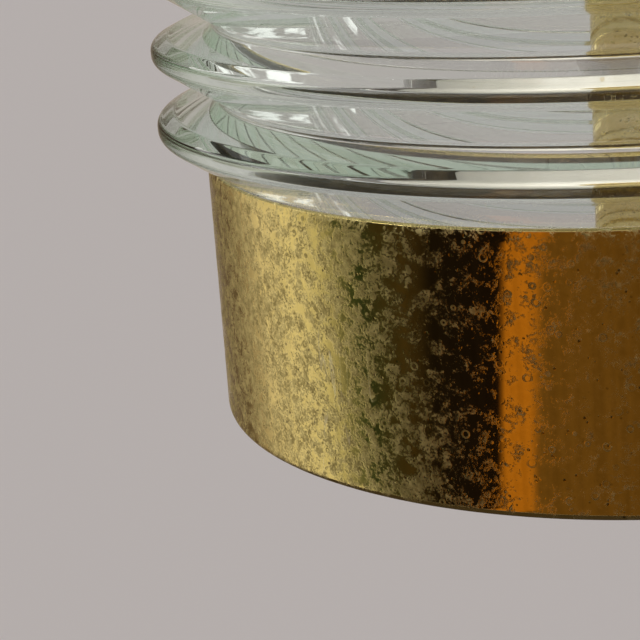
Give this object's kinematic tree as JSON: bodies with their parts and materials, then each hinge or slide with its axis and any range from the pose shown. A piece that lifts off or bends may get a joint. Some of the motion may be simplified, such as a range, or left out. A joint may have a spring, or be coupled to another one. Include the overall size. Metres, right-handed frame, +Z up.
{
  "type": "barber pole light",
  "caption": "Wall-hung barber pole light: a clear ribbed glass cylinder between two spun brass cups on a central rod, with lamps inside and a bracket above.",
  "frame": {"origin": "centre of the mounting plate's back face, on the wall", "axes": "+Z up along the pole, -Y out from the wall into the room, +X to the right seen from the room"},
  "size_m": [0.1668, 0.2134, 0.5527],
  "materials": {
    "brass_cup": "aged brass, lacquer worn to a mottled patina",
    "brass_fittings": "aged polished brass",
    "clear_glass": "clear glass with a faint green tint",
    "lamp_glass": "clear thin lamp glass",
    "steel_plate": "zinc plated",
    "steel_fasteners": "zinc plated",
    "porcelain": "white glazed porcelain",
    "white_enamel": "white stove enamel",
    "felt": "pressed felt",
    "rubber": "matt",
    "terminal_plastic": "moulded",
    "wire_insulation": "pvc insulation",
    "lead_sleeve": "braided glass sleeve",
    "filament": "glass stem with tungsten wire"
  },
  "bodies": {
    "bracket": {"mounting_plate": "steel_plate", "cable_grommet": "rubber", "arm_flange": "brass_fittings", "flange_screws": "steel_fasteners", "earth_washer": "brass_fittings", "earth_screw": "brass_fittings", "terminal_block": "terminal_plastic", "terminal_barrels": "brass_fittings", "terminal_screws": "steel_fasteners", "terminal_fixing_screw": "steel_fasteners", "supply_wires": "wire_insulation", "arm_tube": "brass_fittings", "arm_hub": "brass_fittings", "arm_set_screws": "steel_fasteners", "central_rod": "steel_fasteners", "top_finial": "brass_fittings", "top_dome": "brass_cup", "top_cup": "brass_cup", "roof_washer": "brass_fittings", "roof_nut": "steel_fasteners", "bridge_nuts": "steel_fasteners", "upper_spacer_tube": "brass_fittings", "reflector_nut": "brass_fittings", "rod_sleeve": "brass_fittings", "stop_nut": "brass_fittings", "lamp_bridge": "steel_plate", "lamp_nipples": "steel_fasteners", "nipple_nuts": "steel_fasteners", "lamp_leads": "lead_sleeve", "lampholder_1": "porcelain", "lampholder_2": "porcelain", "lampholder_3": "porcelain", "lampholder_sleeves": "brass_fittings", "lampholder_contacts": "brass_fittings", "reflector_disc": "white_enamel", "top_gasket": "felt"},
    "shade": {"glass_cylinder": "clear_glass", "bottom_gasket": "felt", "bottom_cup": "brass_cup", "bottom_washer": "brass_fittings"},
    "finial": {"bottom_finial": "brass_fittings"},
    "rose": {"wall_rose": "brass_cup"},
    "lock_ring": {"rose_lock_ring": "brass_fittings"},
    "bulb_1": {"bulb_1_glass": "lamp_glass", "bulb_1_cap": "brass_fittings", "bulb_1_filament": "filament"},
    "bulb_2": {"bulb_2_glass": "lamp_glass", "bulb_2_cap": "brass_fittings", "bulb_2_filament": "filament"},
    "bulb_3": {"bulb_3_glass": "lamp_glass", "bulb_3_cap": "brass_fittings", "bulb_3_filament": "filament"}
  },
  "joints": [
    {"name": "shade_drop", "type": "slide", "parent": "bracket", "child": "shade", "axis": [0, 0, -1], "range_m": [0, 0.17]},
    {"name": "finial_turn", "type": "hinge", "parent": "shade", "child": "finial", "pos_m": [0, -0.13, -0.48], "axis": [0, 0, 1], "continuous": true},
    {"name": "rose_slide", "type": "slide", "parent": "bracket", "child": "rose", "axis": [0, -1, 0], "range_m": [0, 0.034]},
    {"name": "lock_ring_turn", "type": "hinge", "parent": "rose", "child": "lock_ring", "pos_m": [0, -0.022, 0], "axis": [0, -1, 0], "continuous": true},
    {"name": "bulb_1_turn", "type": "hinge", "parent": "bracket", "child": "bulb_1", "pos_m": [0, -0.095, -0.1], "axis": [0, 0, 1], "continuous": true},
    {"name": "bulb_2_turn", "type": "hinge", "parent": "bracket", "child": "bulb_2", "pos_m": [-0.03031, -0.1475, -0.1], "axis": [0, 0, 1], "continuous": true},
    {"name": "bulb_3_turn", "type": "hinge", "parent": "bracket", "child": "bulb_3", "pos_m": [0.03031, -0.1475, -0.1], "axis": [0, 0, 1], "continuous": true}
  ]
}
